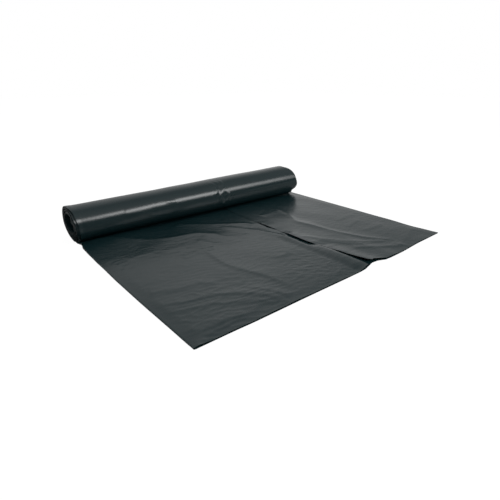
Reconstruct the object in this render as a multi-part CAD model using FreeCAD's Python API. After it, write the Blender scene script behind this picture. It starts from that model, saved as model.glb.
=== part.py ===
import FreeCAD, Part
import math
import os

# A roll of large bin bags with the first bag unrolled in front of it.
# Each bag is folded lengthwise, so roll and tail are one continuous folded web of film.
# X runs along the roll, the tail lies towards -Y, +Z is up and the floor is z = 0.

# Driving dimensions, in millimetres
web_width = 610.0
roll_narrowing = 15.0
tail_length = 449.0
roll_height = 75.0
bore_height = 40.0
flat_spot = 6.0
turn_thickness = 2.7
turn_gap = 0.5
inner_end_gap = 3.0
end_stagger = 8.0
film = 0.6
layer_gap = 0.35
under_layer_setback = 10.0

# Half-turns that lie looser than the rest, counted from outside, and their extra gap
loose_turns = {2: 0.9, 5: 1.3, 8: 0.8}

# The turns are pressed together up to nip_reach ahead of the axis, and part over the slope beyond it.
# The tail has its full width from a little past that slope.
nip_reach = 16.0
nip_slope_length = 20.0
full_width_margin = 3.0
fold_tongue = 3.0

# Height of the wrinkles at most, and how far apart the net's points are that shape a panel
panel_billow = 1.8
crease_width = 15.0
lip_reach = 30.0
net_spacing = 38.0

# From here on, "across" is a share of web_width from the left fold,
# and "along" is a share of tail_length from the roll's axis.

# The left panel's hidden edge under the flap, and where the panel comes down to pass under it
panel_end = 0.70
panel_shoulder = 0.53
panel_foot = 0.59

# The flap's free edge: along, across
flap_edge = ((0.0, 0.585), (0.45, 0.590), (0.72, 0.607), (0.86, 0.632), (1.0, 0.655))

# How high the flap's free edge stands off the panel: along, millimetres
lip_height = ((0.0, 0.0), (0.20, 0.3), (0.38, 1.3), (0.60, 3.2), (0.85, 5.0), (1.0, 4.6))

# How far the front edge falls short of tail_length: across, millimetres
panel_front = ((0.0, 5.0), (0.33, 4.0), (0.45, 1.0), (0.57, 5.0), (1.0, 7.0))
flap_front = ((0.0, 8.0), (0.64, 5.0), (0.70, 0.0), (0.90, 0.0), (1.0, 6.0))

# Creases: height in millimetres, then the points that each runs through, across and along
panel_creases = (
    (2.4, ((0.40, 0.15), (0.47, 0.27), (0.52, 0.40), (0.54, 0.56), (0.55, 0.80))),
    (2.6, ((0.07, 0.08), (0.16, 0.13), (0.25, 0.22), (0.36, 0.25), (0.42, 0.36))),
    (-1.6, ((0.30, 0.48), (0.29, 0.60), (0.31, 0.70), (0.335, 0.85), (0.33, 0.97))),
    (2.0, ((0.03, 0.74), (0.18, 0.79), (0.28, 0.92))),
)
flap_creases = (
    (2.6, ((0.79, 0.29), (0.76, 0.40), (0.74, 0.52), (0.76, 0.67), (0.79, 0.78), (0.84, 0.89))),
    (2.0, ((0.67, 0.68), (0.71, 0.80), (0.77, 0.88), (0.83, 0.95))),
)

# Places that follow from the sizes above. The web lies narrower on the roll than in the loose tail.
rolled_width = web_width - roll_narrowing
slope_end = nip_reach + nip_slope_length
left = -web_width / 2
right = web_width / 2
back_reach = flat_spot / 2 + roll_height / 2
axis_y = (tail_length - back_reach) / 2
fold_height = 2 * film + layer_gap
overlap_height = 3 * film + 2 * layer_gap


def place(x, ahead, z):
    """A point by its distance ahead of the roll's axis."""
    return FreeCAD.Vector(x, axis_y - ahead, z)


def ease(low, high, value):
    """0 up to low, 1 from high, and a soft step between."""
    share = min(1.0, max(0.0, (value - low) / (high - low)))
    return share * share * (3 - 2 * share)


def follow(points, value):
    """The second numbers of points, eased from one to the next by the first."""
    for (start, first), (end, second) in zip(points, points[1:]):
        if value <= end:
            return first + (second - first) * ease(start, end, value)
    return points[-1][1]


def face_of(edges):
    return Part.Face(Part.Wire(edges))


def outline(points):
    """A flat face with straight sides."""
    return Part.Face(Part.makePolygon(points + points[:1]))


# The rolled web: half circles whose diameters shrink by one turn's pitch

def crossing_heights():
    """Heights where the web's outer face crosses the middle plane, at the bottom and top by turns."""
    low, high = 0.0, roll_height
    heights = [low, high]
    half_turn = 0
    while True:
        half_turn += 1
        step = turn_thickness + turn_gap + loose_turns.get(half_turn, 0.0)
        low, high = (low + step, high) if half_turn % 2 else (low, high - step)
        if high - low - 2 * turn_thickness < bore_height:
            break
        heights.append(low if half_turn % 2 else high)
    inward = 1 if len(heights) % 2 else -1
    heights[-1] += inward * inner_end_gap
    return heights


def spiral_edges(heights):
    """Half circles, back and front by turns, with the flat spot's short runs between them."""
    edges = []
    for number, (start, end) in enumerate(zip(heights, heights[1:])):
        side = -1 if number % 2 == 0 else 1
        ahead = side * flat_spot / 2
        bulge = ahead + side * abs(end - start) / 2
        first, last = place(0, ahead, start), place(0, ahead, end)
        edges.append(Part.Arc(first, place(0, bulge, (start + end) / 2), last).toShape())
        if number < len(heights) - 2:
            edges.append(Part.LineSegment(last, place(0, -ahead, end)).toShape())
    return edges


def rolled_web():
    outer = crossing_heights()
    inner = [height + (turn_thickness if height < roll_height / 2 else -turn_thickness) for height in outer]
    outer_edges = spiral_edges(outer)
    inner_edges = spiral_edges(inner)
    last_ahead = (-1 if len(outer) % 2 == 0 else 1) * flat_spot / 2
    tail_end = Part.LineSegment(place(0, -flat_spot / 2, 0), place(0, -flat_spot / 2, turn_thickness)).toShape()
    inner_end = Part.LineSegment(place(0, last_ahead, outer[-1]), place(0, last_ahead, inner[-1])).toShape()
    section = face_of(Part.__sortEdges__(outer_edges + inner_edges + [tail_end, inner_end]))
    section.translate(FreeCAD.Vector(left, 0, 0))
    web = section.extrude(FreeCAD.Vector(web_width, 0, 0))
    beyond = 2 * web_width
    return web.cut(end_cutter(left, -beyond)).cut(end_cutter(left + rolled_width, beyond))


def end_cutter(rim_x, beyond_x):
    """What the roll's end leaves: the turns have slid towards +X, more the further in they lie."""
    centre = roll_height / 2
    slope = 2 * end_stagger / (roll_height - bore_height)
    beyond_height = centre + flat_spot
    profile = outline([
        place(rim_x + slope * centre, 0, centre),
        place(rim_x - slope * flat_spot, 0, centre + beyond_height),
        place(beyond_x, 0, centre + beyond_height),
        place(beyond_x, 0, centre),
    ])
    return profile.revolve(place(0, 0, centre), FreeCAD.Vector(1, 0, 0), 360)


# The tail: the bag's under layer with its two folds, and the two panels that lie on it

def under_layer():
    """The lowest layer, which turns up in a fold at each side, drawn across and run along the tail."""
    fold_radius = fold_height / 2
    tongue_top = fold_height - film / 2
    low_left, low_right = left + fold_radius, right - fold_radius
    tongue_left, tongue_right = left + fold_tongue, right - fold_tongue
    back = -flat_spot / 2

    def corner(x, z):
        return place(x, back, z)

    def run(first, last):
        return Part.LineSegment(first, last).toShape()

    left_fold = Part.Arc(corner(low_left, fold_height), corner(left, fold_radius), corner(low_left, 0)).toShape()
    right_fold = Part.Arc(corner(low_right, 0), corner(right, fold_radius), corner(low_right, fold_height)).toShape()
    section = face_of([
        left_fold,
        run(corner(low_left, 0), corner(low_right, 0)),
        right_fold,
        run(corner(low_right, fold_height), corner(tongue_right, tongue_top)),
        run(corner(tongue_right, tongue_top), corner(tongue_right, film)),
        run(corner(tongue_right, film), corner(tongue_left, film)),
        run(corner(tongue_left, film), corner(tongue_left, tongue_top)),
        run(corner(tongue_left, tongue_top), corner(low_left, fold_height)),
    ])
    return section.extrude(FreeCAD.Vector(0, -(tail_length - under_layer_setback - back), 0))


def pressed_layers():
    """All layers pressed together where they leave the roll, thinning to where they part."""
    back = -flat_spot / 2
    section = outline([
        place(left, back, 0),
        place(left, slope_end, 0),
        place(left, slope_end, film / 2),
        place(left, nip_reach, turn_thickness),
        place(left, back, turn_thickness),
    ])
    return section.extrude(FreeCAD.Vector(web_width, 0, 0))


def narrowing_cutter():
    """The corner that goes where the loose tail narrows, under the roll, to the rolled width."""
    beyond = 2 * right
    back = -flat_spot / 2
    corner = outline([
        place(left + rolled_width, back, -film),
        place(right, slope_end + full_width_margin, -film),
        place(beyond, slope_end + full_width_margin, -film),
        place(beyond, back - film, -film),
        place(left + rolled_width, back - film, -film),
    ])
    return corner.extrude(FreeCAD.Vector(0, 0, 2 * turn_thickness))


def crease_height(across, along, crease):
    """Height of one crease at a spot: highest on its line, and fading on both sides."""
    height, points = crease
    spot_x, spot_y = across * web_width, along * tail_length
    nearest = web_width
    for (across_1, along_1), (across_2, along_2) in zip(points, points[1:]):
        x, y = across_1 * web_width, along_1 * tail_length
        run_x, run_y = across_2 * web_width - x, along_2 * tail_length - y
        share = ((spot_x - x) * run_x + (spot_y - y) * run_y) / (run_x ** 2 + run_y ** 2)
        share = min(1.0, max(0.0, share))
        nearest = min(nearest, math.hypot(spot_x - x - share * run_x, spot_y - y - share * run_y))
    return height * math.exp(-(nearest / crease_width) ** 2)


def creases_at(across, along, creases):
    return sum(crease_height(across, along, crease) for crease in creases)


def panel_top(across, along):
    """The left panel: billowed and creased, and flat at its fold, at the nip and where it goes under the flap."""
    free = ease(0, 0.10, across) * ease(panel_foot, panel_shoulder, across) * ease(0.05, 0.22, along)
    return fold_height + free * (panel_billow + creases_at(across, along, panel_creases))


def flap_top(across, along):
    """The flap: it steps down past the panel's hidden edge, and its own free edge stands up as a lip."""
    free = ease(1.0, 0.90, across) * ease(0.05, 0.22, along)
    base = fold_height + (overlap_height - fold_height) * ease(panel_end + 0.08, panel_end + 0.01, across)
    from_lip = (across - follow(flap_edge, along)) * web_width / lip_reach
    lip = follow(lip_height, along) * math.exp(-from_lip ** 2)
    return base + free * (lip + creases_at(across, along, flap_creases))


def draped_surface(net):
    """A smooth surface that a net of points draws towards itself, and that reaches the net's rim."""
    degree = 3

    def knots_for(count):
        spans = count - degree
        return [degree + 1] + [1] * (spans - 1) + [degree + 1], list(range(spans + 1))

    across_mults, across_knots = knots_for(len(net))
    along_mults, along_knots = knots_for(len(net[0]))
    surface = Part.BSplineSurface()
    surface.buildFromPolesMultsKnots(
        net, across_mults, along_mults, across_knots, along_knots, False, False, degree, degree)
    return surface


def film_panel(start_ahead, edge_across, far_across, front, top):
    """A sheet of film, one layer thick, from the nip to its front edge and from its free edge to its fold."""
    columns = round(abs(far_across - edge_across(1.0)) * web_width / net_spacing)
    rows = round(tail_length / net_spacing)
    net = []
    for column in range(columns + 1):
        line = []
        for row in range(rows + 1):
            share = row / rows
            near = edge_across(share)
            across = near + (far_across - near) * column / columns
            front_ahead = tail_length - follow(front, across)
            ahead = start_ahead + (front_ahead - start_ahead) * share
            line.append(place(left + across * web_width, ahead, top(across, ahead / tail_length) - film))
        net.append(line)
    return draped_surface(net).toShape().extrude(FreeCAD.Vector(0, 0, film))


def left_panel():
    edge = (fold_height / 2 + film) / web_width
    return film_panel(nip_reach + film, lambda share: panel_end, edge, panel_front, panel_top)


def right_flap():
    edge = 1 - (fold_height / 2 + film) / web_width
    return film_panel(nip_reach - film, lambda share: follow(flap_edge, share), edge, flap_front, flap_top)


def main():
    tail = under_layer().fuse(pressed_layers()).cut(narrowing_cutter())
    bag_roll = tail.fuse([rolled_web(), left_panel(), right_flap()]).removeSplitter()
    os.makedirs("parts", exist_ok=True)
    bag_roll.exportStep("parts/bag_roll.step")
    print("solids", len(bag_roll.Solids), "valid", bag_roll.isValid(), "volume", bag_roll.Volume)
    print("box", bag_roll.BoundBox)


main()
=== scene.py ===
import math

import bpy
import numpy as np
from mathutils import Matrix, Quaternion, Vector


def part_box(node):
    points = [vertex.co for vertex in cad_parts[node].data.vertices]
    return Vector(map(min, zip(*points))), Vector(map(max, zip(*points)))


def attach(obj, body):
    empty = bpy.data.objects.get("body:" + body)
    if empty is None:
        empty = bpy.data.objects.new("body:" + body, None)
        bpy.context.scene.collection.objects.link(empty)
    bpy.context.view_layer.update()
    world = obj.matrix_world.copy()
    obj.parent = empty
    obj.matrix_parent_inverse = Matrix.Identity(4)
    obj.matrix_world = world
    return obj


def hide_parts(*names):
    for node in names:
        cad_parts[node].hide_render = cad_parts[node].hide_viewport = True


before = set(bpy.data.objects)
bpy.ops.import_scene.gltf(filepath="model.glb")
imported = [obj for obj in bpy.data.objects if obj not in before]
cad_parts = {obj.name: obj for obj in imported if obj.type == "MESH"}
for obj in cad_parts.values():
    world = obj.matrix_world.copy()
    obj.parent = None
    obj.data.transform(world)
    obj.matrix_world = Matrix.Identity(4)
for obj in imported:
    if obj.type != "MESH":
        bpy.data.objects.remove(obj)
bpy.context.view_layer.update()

# A roll of large bin bags of glossy dark film, with the first bag unrolled in front of it.
# Two pieces stand for the one web: the rolled bags and the unrolled bag.
# Sizes are in millimetres. "across" is the way along the roll from the left fold,
# and "ahead" is the way from the roll's axis to the front.

MILLIMETRE = 0.001

box_low, box_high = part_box("bag_roll")
LEFT = box_low.x / MILLIMETRE
RIGHT = box_high.x / MILLIMETRE
ROLL_HEIGHT = box_high.z / MILLIMETRE
FLAT_SPOT = 6.0
ROLL_RADIUS = ROLL_HEIGHT / 2
AXIS_Y = box_high.y / MILLIMETRE - ROLL_RADIUS - FLAT_SPOT / 2
FRONT_REACH = AXIS_Y - box_low.y / MILLIMETRE

# The roll's turns. The outer turn is the skin, and the inner ones show only at the roll's ends.
# They are drawn thicker and fewer than real film makes them, so that they show.
FIRST_PITCH = 1.7
TURN_PITCH = 1.25
TURN_THICKNESS = 0.85
TURN_COUNT = 14
STEPS_A_TURN = 60
FULL_TURN = 2 * math.pi

# Heights of the tail's layers where they are free, and where the roll presses on them
UNDER_HEIGHT = 0.1
PANEL_HEIGHT = 1.5
FLAP_HEIGHT = 2.6
PRESSED_STEP = 0.45
PRESSED_REACH = 14.0
FREE_REACH = 42.0
LEAST_GAP = 0.35
FOLD_WIDTH = 3.0

# The panel's hidden edge under the flap, across from the left fold
PANEL_HIDDEN_EDGE = 427.0


# Shapes that are used by both pieces

def ease(low, high, value):
    """0 up to low, 1 from high, and a soft step between."""
    share = np.clip((value - low) / (high - low), 0.0, 1.0)
    return share * share * (3 - 2 * share)


def follow(points, value):
    """The second numbers of points, eased from one to the next by the first."""
    result = np.full(np.shape(value), float(points[0][1]))
    for (start, first), (end, second) in zip(points, points[1:]):
        result += (second - first) * ease(start, end, value)
    return result


def waves(x, y, seed, longest, shortest, stretch=1.0, turn=0.0, count=26):
    """Smooth random ripples of about -1 to 1: seeded sine waves, stretched along one direction."""
    draw = np.random.default_rng(seed)
    along = x * math.cos(turn) + y * math.sin(turn)
    over = (-x * math.sin(turn) + y * math.cos(turn)) * stretch
    total = np.zeros(np.broadcast(x, y).shape)
    for _ in range(count):
        length = shortest * (longest / shortest) ** draw.random()
        heading = draw.uniform(0, 2 * math.pi)
        phase = draw.uniform(0, 2 * math.pi)
        way = along * math.cos(heading) + over * math.sin(heading)
        total += np.sin(way * 2 * math.pi / length + phase)
    return total / math.sqrt(count)


def wrinkles(x, y, seed, longest, shortest, stretch=1.0, turn=0.0):
    """Sharp-crested wrinkles from 0 to 1, as thin film takes them."""
    ripple = waves(x, y, seed, longest, shortest, stretch, turn)
    return np.exp(-np.abs(ripple) * 2.2)


def smooth_line(points, steps=10):
    """A smooth line through points, as short straight runs."""
    corners = np.array(points, float)
    ends = np.vstack([2 * corners[0] - corners[1], corners, 2 * corners[-1] - corners[-2]])
    line = []
    for before, start, end, after in zip(ends, ends[1:], ends[2:], ends[3:]):
        for share in np.arange(steps) / steps:
            line.append(0.5 * (2 * start + (end - before) * share
                               + (2 * before - 5 * start + 4 * end - after) * share ** 2
                               + (3 * start - before - 3 * end + after) * share ** 3))
    return np.array(line + [corners[-1]])


def beside(x, y, points):
    """Each spot's way from a smooth line, positive on its left, and its share of the way along it."""
    line = smooth_line(points)
    nearest = np.full(np.shape(x), 1e9)
    side = np.zeros(np.shape(x))
    share = np.zeros(np.shape(x))
    count = len(line) - 1
    for number, (start, end) in enumerate(zip(line, line[1:])):
        run = end - start
        step = np.clip(((x - start[0]) * run[0] + (y - start[1]) * run[1]) / (run @ run), 0, 1)
        off_x, off_y = x - start[0] - step * run[0], y - start[1] - step * run[1]
        distance = np.hypot(off_x, off_y)
        closer = distance < nearest
        nearest = np.where(closer, distance, nearest)
        side = np.where(closer, np.sign(run[0] * off_y - run[1] * off_x), side)
        share = np.where(closer, (number + step) / count, share)
    return nearest * side, share


def crease(x, y, height, points, left_width, right_width, crest=1.0):
    """A crease along a line: a sharp crest that falls away on both sides, fading at both ends."""
    offset, share = beside(x, y, points)
    width = np.where(offset > 0, left_width, right_width)
    slope = (np.sqrt(offset ** 2 + crest ** 2) - crest) / width
    fade = ease(0, 0.18, share) * ease(1.0, 0.82, share)
    return height * np.exp(-slope ** 1.3) * fade


def grid_faces(rows, columns, first=0):
    """Four-sided faces over a grid of points that are counted row by row."""
    row, column = np.meshgrid(np.arange(rows - 1), np.arange(columns - 1), indexing="ij")
    corner = (first + row * columns + column).ravel()
    return np.stack([corner, corner + 1, corner + columns + 1, corner + columns], axis=1)


def film_piece(name, points, faces, material):
    """A mesh from points in millimetres, whose finish is the film."""
    mesh = bpy.data.meshes.new(name)
    mesh.from_pydata((points * MILLIMETRE).tolist(), [], [face.tolist() for face in faces])
    mesh.polygons.foreach_set("use_smooth", [True] * len(mesh.polygons))
    mesh.set_sharp_from_angle(angle=math.radians(50))
    mesh.materials.append(material)
    mesh.update()
    piece = bpy.data.objects.new(name, mesh)
    bpy.context.scene.collection.objects.link(piece)
    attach(piece, "root")
    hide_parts("bag_roll")
    return piece


# The unrolled bag: one folded layer of film from the hidden edge round both folds to the flap's free edge

# Creases: height, points across from the left fold and ahead of the roll's axis,
# and how far they spread on the line's left and on its right
PANEL_CREASES = (
    (2.2, ((206, 50), (212, 58), (255, 90), (296, 120), (327, 144), (338, 172)), 15, 7),
    (1.2, ((266, 117), (293, 149), (321, 193), (336, 233), (343, 272), (347, 311)), 13, 7),
    (1.7, ((-60, -20), (0, 16), (51, 43), (105, 83), (125, 98), (165, 116), (204, 122), (226, 138),
           (241, 159), (251, 196)), 14, 9),
    (0.6, ((190, 152), (196, 166), (211, 196), (236, 210), (255, 212), (285, 200), (300, 190)), 5, 14),
    (0.5, ((45, 157), (53, 156), (82, 153), (105, 158)), 5, 12),
    (0.4, ((108, 158), (145, 166), (160, 168)), 12, 6),
    (0.7, ((125, 216), (132, 215), (157, 212), (188, 210), (200, 209)), 5, 12),
    (1.0, ((177, 212), (175, 221), (171, 276), (178, 315), (188, 345), (197, 374), (196, 440)), 5, 16),
    (0.8, ((20, 292), (28, 295), (62, 309), (97, 312), (109, 323), (122, 330)), 5, 14),
    (1.2, ((6, 332), (47, 347), (87, 357), (116, 372), (141, 395), (156, 419), (160, 444)), 5, 15),
    (0.8, ((6, 349), (33, 366), (72, 374), (107, 396), (137, 416), (146, 440)), 5, 11),
    (0.8, ((10, 416), (48, 420), (81, 425), (100, 430)), 5, 10),
    (0.6, ((142, 366), (162, 396), (174, 421), (178, 440)), 4, 9),
    (0.6, ((236, 312), (275, 321), (298, 302), (311, 277), (316, 262)), 5, 9),
)
FLAP_CREASES = (
    (1.6, ((461, 88), (458, 105), (453, 149), (443, 174), (428, 200), (428, 220), (436, 250), (441, 282),
           (448, 317), (458, 346), (467, 366), (492, 398), (508, 414)), 8, 10),
    (0.9, ((364, 278), (371, 288), (391, 317), (411, 347), (435, 371), (472, 397), (484, 404)), 7, 8),
    (0.7, ((372, 298), (395, 341), (421, 374), (436, 388)), 6, 7),
    (1.0, ((400, 382), (412, 390), (441, 410), (476, 430), (498, 442)), 7, 11),
    (0.6, ((480, 434), (493, 429), (533, 416), (584, 404), (606, 400)), 12, 12),
    (0.8, ((392, 128), (403, 126), (450, 121), (466, 120)), 9, 7),
    (0.5, ((486, 303), (523, 296), (552, 289)), 5, 10),
    (0.5, ((490, 336), (533, 342), (572, 338)), 5, 10),
    (0.4, ((500, 262), (540, 258), (580, 260)), 5, 10),
)

# The flap's free edge: ahead, across from the left fold
FLAP_EDGE = ((0, 357), (84, 357), (186, 355), (222, 357), (252, 354), (308, 352), (330, 354.5),
             (351, 359), (367, 361.0), (388, 362.5), (414, 364), (439, 368), (449, 372))

# How high the free edge stands off, by ahead, and how far its slope reaches
LIP_HEIGHT = ((40, 0.0), (90, -0.6), (150, -0.5), (170, 0.5), (188, 1.1), (205, 0.4), (222, -0.8),
              (262, 2.8), (316, 2.7), (340, 0.5), (350, 1.4), (388, 3.3), (420, 4.4), (449, 4.6))
LIP_REACH = 22.0

# How far the side folds stand in from their straight lines, by ahead
LEFT_EDGE_IN = ((-3, 3.5), (12, 3.5), (29, 6.0), (54, 1.6), (90, 0.4), (142, -0.8), (231, -2.6),
                (303, -3.0), (414, -2.3), (449, -2.2))
RIGHT_EDGE_IN = ((-3, -1.0), (45, 1.0), (120, 1.0), (220, 1.5), (300, 2.5), (330, 2.0), (388, 5.0),
                 (425, 1.8), (449, 0.0))

# How far the front edges fall short of the reach, by across from the left fold
UNDER_FRONT = ((0, 1.6), (50, 1.0), (104, -0.4), (161, -0.7), (338, -2.4), (351, 0.2), (363, 3.0),
               (381, 7.5), (393, 4.2), (400, 1.0), (407, -2.2), (420, -2.8), (453, -2.8), (535, 0.8),
               (610, 1.5))
FRONT_OVERHANG = 0.8

# How high the panel's front edge stands up, by across from the left fold, and how far back that reaches.
# The corner's tip is turned up a little more.
FRONT_LIFT = ((0, 0.2), (9, 0.9), (17, -0.2), (26, -1.3), (48, -1.3), (64, -0.7), (110, -0.4),
              (175, -0.3), (245, -0.9), (345, -1.3))
FRONT_LIFT_REACH = 22.0
CORNER_TIP_HEIGHT = 1.0
CORNER_TIP_REACH = 12.0

# The tail's mesh: rows from the roll to the front edge, and columns over each part of the film
TAIL_ROWS = 206
PANEL_COLUMNS = 190
UNDER_COLUMNS = 40
FLAP_COLUMNS = 125


def settled(ahead):
    """How free the tail's layers are of the roll's weight."""
    return ease(PRESSED_REACH, FREE_REACH, ahead)


def leaving_roll(across, ahead):
    """The film's low hump where it leaves the roll, higher and longer on the left."""
    left = ease(190, 60, across)
    hump = (1.8 + 3.0 * left) * ease(14, 30, ahead) * ease(90 + 35 * left, 30, ahead)
    return hump * ease(605, 500, across)


def fine_wrinkles(across, ahead, seed, longest, shortest, stretch, turn):
    """Fine wrinkles that run mostly one way, drawn about twice as coarse as real ones so that they show."""
    bend = 6.0 * waves(across, ahead, seed + 100, 160, 80)
    return wrinkles(across + bend, ahead + bend, seed, longest, shortest, stretch, turn)


def panel_top(across, ahead):
    """The left panel: billowed and creased, most at its front left, and flat where it goes under the flap."""
    free = settled(ahead) * ease(0, 22, across) * ease(372, 352, across)
    height = 0.4 * waves(across, ahead, 3, 190, 70) + 0.9
    for rise, points, left_reach, right_reach in PANEL_CREASES:
        height += crease(across, ahead, rise, points, left_reach, right_reach)
    crumpled = ease(280, 400, ahead) * ease(240, 100, across)
    height += (0.27 * crumpled + 0.26) * fine_wrinkles(across, ahead, 8, 110, 40, 3.2, 0.28)
    height += (0.16 * crumpled + 0.15) * fine_wrinkles(across, ahead, 12, 44, 18, 2.2, 0.2)
    rippled = ease(250, 380, ahead) * ease(205, 250, across) * ease(338, 318, across)
    height += 0.40 * rippled * fine_wrinkles(across, ahead, 31, 50, 22, 2.2, 0.5)

    # Beside the flap's edge the panel swells towards the front, and sinks where the slit gapes
    strip = ease(228, 262, ahead) * ease(324, 340, across) * 2.0
    strip += ease(300, 370, ahead) * ease(328, 350, across) * 2.0
    strip -= ease(240, 275, ahead) * ease(338, 315, ahead) * ease(338, 352, across) * 1.6
    strip = settled(ahead) * strip * ease(378, 350, across)

    from_corner = (across + FRONT_REACH - ahead) / math.sqrt(2)
    lift = ease(FRONT_REACH - FRONT_LIFT_REACH, FRONT_REACH, ahead) * follow(FRONT_LIFT, across)
    lift += CORNER_TIP_HEIGHT * np.maximum(1 - from_corner / CORNER_TIP_REACH, 0)
    base = PRESSED_STEP + (PANEL_HEIGHT - PRESSED_STEP) * settled(ahead)
    return base + free * height + lift + strip + leaving_roll(across, ahead)


def flap_top(across, ahead):
    """The flap: it steps down past the panel's hidden edge, and its free edge stands up as a lip."""
    free = settled(ahead) * ease(610, 588, across)
    height = 0.3 * waves(across, ahead, 5, 150, 60) + 0.7
    for rise, points, left_reach, right_reach in FLAP_CREASES:
        height += crease(across, ahead, rise, points, left_reach, right_reach)
    height += 0.22 * fine_wrinkles(across, ahead, 17, 80, 26, 2.6, 0.1)
    height += 0.10 * fine_wrinkles(across, ahead, 23, 30, 13, 1.8, -0.1)
    from_edge = across - follow(FLAP_EDGE, ahead)
    lip = follow(LIP_HEIGHT, ahead) * np.exp(-(from_edge / LIP_REACH) ** 2)
    step = ease(PANEL_HIDDEN_EDGE + 30, PANEL_HIDDEN_EDGE, across)
    lower = PANEL_HEIGHT + (FLAP_HEIGHT - PANEL_HEIGHT) * step
    base = 2 * PRESSED_STEP + (lower - 2 * PRESSED_STEP) * settled(ahead)
    return base + free * (height + lip) + leaving_roll(across, ahead)


def unrolled_bag(material):
    full = RIGHT - LEFT
    start = -FLAT_SPOT / 2
    row_share = np.linspace(0, 1, TAIL_ROWS)[:, None]
    columns = []

    def add_column(across, short, top):
        """A column of points from the roll to the front edge, which ends this far short of the reach."""
        ahead = start + (FRONT_REACH - short - start) * row_share
        columns.append((across + 0 * ahead, ahead, top(across + 0 * ahead, ahead)))

    def add_fold(edge, outward, steps, upper_top):
        """Columns round a side fold, half a circle from the upper layer to the under layer or back."""
        for step in steps:
            across = edge + outward * FOLD_WIDTH / 2 * (math.sin(math.pi * step) - 1)
            share = (1 + math.cos(math.pi * step)) / 2
            add_column(across, follow(UNDER_FRONT, edge) + FRONT_OVERHANG * share, lambda x, ahead: (
                UNDER_HEIGHT + (upper_top(x, ahead) - UNDER_HEIGHT) * share))

    for across in np.linspace(PANEL_HIDDEN_EDGE, FOLD_WIDTH, PANEL_COLUMNS):
        add_column(across, follow(UNDER_FRONT, across) + FRONT_OVERHANG, panel_top)
    add_fold(0.0, -1, (0.25, 0.5, 0.75), panel_top)
    for across in np.linspace(FOLD_WIDTH, full - FOLD_WIDTH, UNDER_COLUMNS):
        add_column(across, follow(UNDER_FRONT, across), lambda x, ahead: UNDER_HEIGHT + 0 * x)
    add_fold(full, 1, (0.75, 0.5, 0.25), flap_top)
    for share in np.linspace(0, 1, FLAP_COLUMNS):
        guess = start + (FRONT_REACH - start) * row_share
        across = full - FOLD_WIDTH + (follow(FLAP_EDGE, guess) - full + FOLD_WIDTH) * share
        ahead = start + (FRONT_REACH - follow(UNDER_FRONT, across) - start) * row_share
        covered = ease(PANEL_HIDDEN_EDGE + 25, PANEL_HIDDEN_EDGE, across)
        above_panel = covered * (panel_top(across, ahead) + LEAST_GAP)
        columns.append((across, ahead, np.maximum(flap_top(across, ahead), above_panel)))

    across, ahead, z = (np.concatenate([column[part] for column in columns], axis=1) for part in range(3))
    share = across / full
    drift = follow(LEFT_EDGE_IN, ahead) * (1 - share) ** 3 - follow(RIGHT_EDGE_IN, ahead) * share ** 3
    points = np.stack([LEFT + across + drift, AXIS_Y - ahead, z], axis=2)
    bag = film_piece("unrolled_bag", points.reshape(-1, 3), grid_faces(*z.shape), material)
    return bag


# The rolled bags. "wound" is the angle wound from the bottom over the back, the top and the front.

# The outer turn's ends, by the share of it wound: millimetres in from the tail's sides
SKIN_LEFT_IN = ((0, 2.5), (0.25, -1.0), (0.5, -1.5), (0.62, 2.0), (0.75, 5.0), (0.88, 7.0), (1.0, 7.0))
SKIN_RIGHT_IN = ((0, 2.0), (0.25, 16.0), (0.5, 31.0), (0.64, 30.0), (0.75, 37.0), (0.85, 21.0),
                 (0.93, 11.0), (1.0, 6.0))

# How far the inner turns' right ends stand out beyond the skin's, by turn
RIGHT_SLIDE = ((1.0, 5.0), (2.0, 13.0), (3.5, 21.0), (5.0, 26.5), (7.0, 28.0), (14.0, 22.0))

# Gaps between looser turns: turn, millimetres, and the share of a turn where the gap is widest
LOOSE_GAPS = ((1.5, 0.8, 0.5), (2.5, 1.0, 0.1), (3.5, 1.4, 0.5), (5.5, 1.0, 0.95), (6.5, 1.2, 0.5))

# How much thicker the roll is than its set radius, by across from its left end
THICKER_BY = ((0, -0.4), (180, -0.3), (260, 0.9), (350, 2.1), (480, 2.2), (570, 3.2))

# The skin's creases: height, points across from the left end and up from the middle of the front,
# and how far they spread on the line's left and right
SKIN_CREASES = (
    (0.6, ((96, 11), (105, 9), (125, 5.5), (150, 1), (162, -1)), 12, 2.5),
    (0.4, ((192, 20), (204, 17), (220, 14)), 6, 3),
    (0.6, ((322, 48), (330, 32), (328, 18), (324, 8)), 3, 4),
    (-0.8, ((334, 46), (340, 28), (335, 12), (329, 0)), 3, 3),
    (0.6, ((346, 44), (350, 27), (343, 12), (335, -2), (336, -14)), 4, 3),
    (0.8, ((337, 46), (342, 37), (340, 27)), 2.5, 2.5),
    (0.8, ((351, 47), (354, 37), (351, 27)), 2.5, 2.5),
    (0.7, ((333, 1), (337, -8), (334, -17)), 2.5, 2.5),
    (0.6, ((347, 0), (350, -9), (346, -19)), 2.5, 2.5),
    (-0.7, ((357, 14), (350, 2), (347, -14)), 3, 3),
    (0.6, ((366, 11), (359, 0), (355, -14)), 3, 4),
    (0.5, ((376, 4), (370, -5), (371, -18)), 3, 3),
)


def turn_path(wound):
    """The web's outer face in section, how far ahead and how high, and its outward normal."""
    turns = wound / FULL_TURN
    inward = FIRST_PITCH * np.minimum(turns, 1.0) + TURN_PITCH * np.maximum(turns - 1.0, 0.0)
    for turn, gap, widest in LOOSE_GAPS:
        open_side = (1 + np.cos(wound - widest * FULL_TURN)) / 2
        inward = inward + gap * ease(turn - 0.5, turn + 0.5, turns) * open_side ** 2
    radius = ROLL_RADIUS - inward
    ahead = -(radius * np.sin(wound) + FLAT_SPOT / 2 * np.tanh(3 * np.sin(wound)) / math.tanh(3.0))
    return ahead, ROLL_RADIUS - radius * np.cos(wound), -np.sin(wound), -np.cos(wound)


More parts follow.
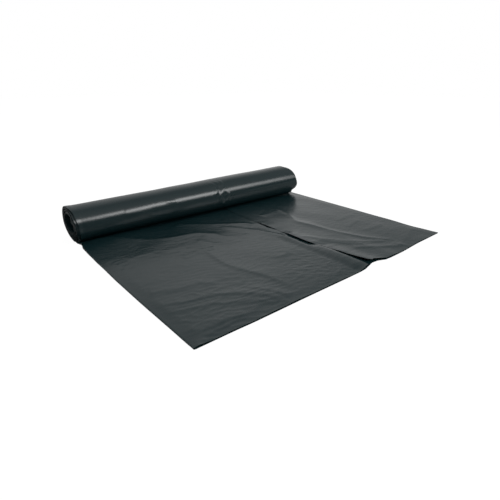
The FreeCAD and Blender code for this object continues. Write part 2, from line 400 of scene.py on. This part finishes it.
def skin_relief(across, wound):
    """How far the skin stands out or in: thicker to the right, gently waved, creased and puckered."""
    up = (0.75 * FULL_TURN - wound) * ROLL_RADIUS
    relief = follow(THICKER_BY, across) + 0.8 * ease(13, 3, across)
    relief += 0.22 * waves(across, up, 41, 300, 110, stretch=1.2)
    relief += 0.04 * waves(across, up, 43, 60, 25, stretch=0.6)
    for height, points, left_reach, right_reach in SKIN_CREASES:
        relief += crease(across, up, height, points, left_reach, right_reach, crest=0.7)
    return relief * ease(0, 0.8, wound) * ease(FULL_TURN, FULL_TURN - 0.8, wound)


def skin_points(wound, share, depth):
    """Points of the skin, this deep under its face: wound down the rows, and left to right by share."""
    left = LEFT + follow(SKIN_LEFT_IN, wound / FULL_TURN)
    right = RIGHT - follow(SKIN_RIGHT_IN, wound / FULL_TURN)
    across = left + (right - left) * share
    ahead, z, normal_ahead, normal_z = turn_path(wound)
    out = skin_relief(across - LEFT, wound + 0 * share) - depth
    return np.stack([across, AXIS_Y - (ahead + normal_ahead * out), z + normal_z * out], axis=2)


def rim_faces(outer, inner):
    """Faces between two rows of points at a rim."""
    return np.stack([outer[:-1], outer[1:], inner[1:], inner[:-1]], axis=1)


def rolled_bags(material):
    rows, columns, inner_columns = 133, 300, 12
    wound = np.linspace(0, FULL_TURN, rows)[:, None]
    outer = skin_points(wound, np.linspace(0, 1, columns)[None, :], 0.0)
    inner = skin_points(wound, np.linspace(0, 1, inner_columns)[None, :], TURN_THICKNESS)
    inner_first = rows * columns
    outer_index = np.arange(inner_first).reshape(rows, columns)
    inner_index = inner_first + np.arange(rows * inner_columns).reshape(rows, inner_columns)
    faces = [grid_faces(rows, columns), grid_faces(rows, inner_columns, inner_first)[:, ::-1],
             rim_faces(outer_index[:, 0], inner_index[:, 0])[:, ::-1],
             rim_faces(outer_index[:, -1], inner_index[:, -1])]

    # The inner turns. Their left ends are uneven, in at the top and out at the front,
    # and their right ends have slid out.
    band_rows = STEPS_A_TURN * (TURN_COUNT - 1) + 1
    wound = np.linspace(FULL_TURN, FULL_TURN * TURN_COUNT, band_rows)[:, None]
    turns = wound / FULL_TURN
    ahead, z, normal_ahead, normal_z = turn_path(wound)
    upper = ease(0.3, 0.7, (1 - np.cos(wound)) / 2)
    front = ease(0.0, 0.9, -np.sin(wound))
    left_in = 1.0 + follow(SKIN_LEFT_IN, turns % 1.0) * 0.9 + 1.8 * np.sin(turns * 2.1)
    left_in += 6.0 * ease(7.0, 13.0, turns) * upper * (1 - front) - 4.5 * ease(1.0, 3.5, turns) * front
    right_in = 30.0 - follow(RIGHT_SLIDE, turns) * (1 - 0.17 * upper) + 0.4 * np.sin(turns * 4.3 + 1)
    right_in -= 2.4 * (1 + np.cos(wound - 0.88 * FULL_TURN))
    thicker = 1.1 * (1 - np.cos(wound))
    rings = []
    for x, depth in ((LEFT + left_in, TURN_THICKNESS), (LEFT + left_in, 0.0),
                     (RIGHT - right_in, -thicker), (RIGHT - right_in, TURN_THICKNESS - thicker)):
        y = AXIS_Y - (ahead - normal_ahead * depth)
        rings.append(np.concatenate([x, y, z - normal_z * depth], axis=1))
    band_first = inner_first + rows * inner_columns
    ring_index = band_first + np.arange(len(wound) * 4).reshape(-1, 4)
    for side in range(4):
        faces.append(rim_faces(ring_index[:, side], ring_index[:, (side + 1) % 4]))
    points = [part.reshape(-1, 3) for part in (outer, inner, np.stack(rings, axis=1))]
    return film_piece("rolled_bags", np.concatenate(points), np.concatenate(faces), material)


# Finishes

def linear(hex_colour):
    """A colour for a shader, from its sRGB hex value."""
    parts = [int(hex_colour[start:start + 2], 16) / 255 for start in (1, 3, 5)]
    parts = [part / 12.92 if part <= 0.04045 else ((part + 0.055) / 1.055) ** 2.4 for part in parts]
    return parts + [1.0]


def add_node(tree, kind, inputs=None, **settings):
    """A node with its settings, and with each named input linked or set."""
    node = tree.nodes.new(kind)
    for name, value in settings.items():
        setattr(node, name, value)
    for socket, value in (inputs or {}).items():
        if isinstance(value, bpy.types.NodeSocket):
            tree.links.new(value, node.inputs[socket])
        else:
            node.inputs[socket].default_value = value
    return node


def polythene_film():
    """Blown low-density polythene, pigmented a blackish green: a dark body under a soft, clear gloss."""
    material = bpy.data.materials.new("gloss_polythene_film")
    material.use_nodes = True
    tree = material.node_tree
    shader = tree.nodes["Principled BSDF"]
    shader.inputs["Base Color"].default_value = linear("#12272a")
    shader.inputs["IOR"].default_value = 1.5
    shader.inputs["Roughness"].default_value = 0.24
    return material


# The studio: a plain floor, a soft dome that is dark low down in front, and three soft boxes in front.
# The boxes lie one over the other and make the roll's long highlight, brightest in the middle.

# Level directions behind the bags: straight back, and back to the left
TO_BACK = (0.2, 0.98, 0.0)
TO_BACK_LEFT = (-0.5, 0.87, 0.0)

# How far the soft boxes lean down to the right
LAMP_LEAN = math.radians(14)

# The photograph's view, in metres and radians, and its lens on a 36 mm wide sensor
CAMERA_PLACE = (-0.5023, -0.5792, 0.2966)
CAMERA_TO_RIGHT = 0.70082
CAMERA_DOWN = 0.4079
SENSOR_WIDTH = 36.0
FOCAL_LENGTH = 28.14


def studio_dome():
    """White to the camera. In the film it is brightest low down at the back, and dark low down in front."""
    world = bpy.data.worlds.new("studio_dome")
    bpy.context.scene.world = world
    world.use_nodes = True
    tree = world.node_tree
    tree.nodes.clear()
    direction = add_node(tree, "ShaderNodeTexCoord").outputs["Generated"]
    height = add_node(tree, "ShaderNodeSeparateXYZ", {0: direction}).outputs["Z"]
    away = add_node(tree, "ShaderNodeVectorMath", {0: direction, 1: TO_BACK}, operation="DOT_PRODUCT")
    aside = add_node(tree, "ShaderNodeVectorMath", {0: direction, 1: TO_BACK_LEFT},
                     operation="DOT_PRODUCT")

    # The back fades from its middle towards the right and the left
    behind = add_node(tree, "ShaderNodeMapRange", {
        "Value": height, "From Min": 0.1, "From Max": 0.9, "To Min": 0.77, "To Max": 0.6}).outputs[0]
    right_share = add_node(tree, "ShaderNodeMapRange", {
        "Value": aside.outputs["Value"], "From Min": -0.1, "From Max": 0.35,
        "To Min": 0.52, "To Max": 1.08})
    behind = add_node(tree, "ShaderNodeMath", {0: behind, 1: right_share.outputs[0]},
                      operation="MULTIPLY").outputs[0]
    left_share = add_node(tree, "ShaderNodeMapRange", {
        "Value": aside.outputs["Value"], "From Min": 0.3, "From Max": 0.7,
        "To Min": 1.0, "To Max": 0.65})
    behind = add_node(tree, "ShaderNodeMath", {0: behind, 1: left_share.outputs[0]},
                      operation="MULTIPLY").outputs[0]

    before = add_node(tree, "ShaderNodeMapRange", {
        "Value": height, "From Min": 0.4, "From Max": 0.75, "To Min": 0.04, "To Max": 0.62}).outputs[0]
    back_share = add_node(tree, "ShaderNodeMapRange", {
        "Value": away.outputs["Value"], "From Min": -0.4, "From Max": 0.3})
    level = add_node(tree, "ShaderNodeMix", {"Factor": back_share.outputs[0], 2: before, 3: behind})
    white = linear("#ffffff")
    lit = add_node(tree, "ShaderNodeBackground", {"Color": white, "Strength": level.outputs[0]})
    seen = add_node(tree, "ShaderNodeBackground", {"Color": white, "Strength": 1.0})
    camera_ray = add_node(tree, "ShaderNodeLightPath").outputs["Is Camera Ray"]
    mixed = add_node(tree, "ShaderNodeMixShader", {0: camera_ray, 1: lit.outputs[0], 2: seen.outputs[0]})
    add_node(tree, "ShaderNodeOutputWorld", {"Surface": mixed.outputs[0]})


def studio_floor():
    """Matt pale card, which the camera sees nearly white with a faint shadow under the bags."""
    material = bpy.data.materials.new("matt_pale_card")
    material.use_nodes = True
    tree = material.node_tree
    tree.nodes.clear()
    card = add_node(tree, "ShaderNodeBsdfDiffuse", {"Color": linear("#bcbcbc")})
    white = add_node(tree, "ShaderNodeEmission", {"Color": linear("#ffffff"), "Strength": 1.2})
    camera_ray = add_node(tree, "ShaderNodeLightPath").outputs["Is Camera Ray"]
    share = add_node(tree, "ShaderNodeMath", {0: camera_ray, 1: 0.8}, operation="MULTIPLY")
    mixed = add_node(tree, "ShaderNodeMixShader", {
        0: share.outputs[0], 1: card.outputs[0], 2: white.outputs[0]})
    add_node(tree, "ShaderNodeOutputMaterial", {"Surface": mixed.outputs[0]})
    half = 8.0
    corners = [(-half, -half, 0), (half, -half, 0), (half, half, 0), (-half, half, 0)]
    mesh = bpy.data.meshes.new("floor")
    mesh.from_pydata(corners, [], [(0, 1, 2, 3)])
    mesh.materials.append(material)
    floor = bpy.data.objects.new("floor", mesh)
    bpy.context.scene.collection.objects.link(floor)


def soft_lamp(name, place, width, depth, radiance):
    """A soft box of even brightness, aimed at the roll and leaning down to the right."""
    light = bpy.data.lights.new(name, "AREA")
    light.shape = "RECTANGLE"
    light.size, light.size_y = width, depth
    light.energy = radiance * math.pi * width * depth
    lamp = bpy.data.objects.new(name, light)
    lamp.location = place
    aim = Vector((0, 0.2, 0)) - Vector(place)
    lamp.rotation_mode = "QUATERNION"
    lamp.rotation_quaternion = Quaternion((0, 1, 0), LAMP_LEAN) @ aim.to_track_quat("-Z", "Y")
    bpy.context.scene.collection.objects.link(lamp)


def camera():
    """The photograph's view: from the left front, a little above the roll."""
    lens = bpy.data.cameras.new("camera")
    lens.sensor_width = SENSOR_WIDTH
    lens.lens = FOCAL_LENGTH
    viewer = bpy.data.objects.new("camera", lens)
    viewer.location = CAMERA_PLACE
    viewer.rotation_euler = (math.pi / 2 - CAMERA_DOWN, 0, -CAMERA_TO_RIGHT)
    bpy.context.scene.collection.objects.link(viewer)
    bpy.context.scene.camera = viewer


def main():
    bpy.context.scene.view_settings.view_transform = "Standard"
    film = polythene_film()
    studio_floor()
    studio_dome()
    soft_lamp("long_softbox", (1.75, -2.2, 1.38), 3.6, 0.85, 2.0)
    soft_lamp("left_softbox", (1.15, -2.17, 1.5), 2.3, 0.85, 3.5)
    soft_lamp("middle_softbox", (1.2, -2.14, 1.5), 1.0, 0.8, 3.5)
    camera()
    rolled_bags(film)
    unrolled_bag(film)


main()
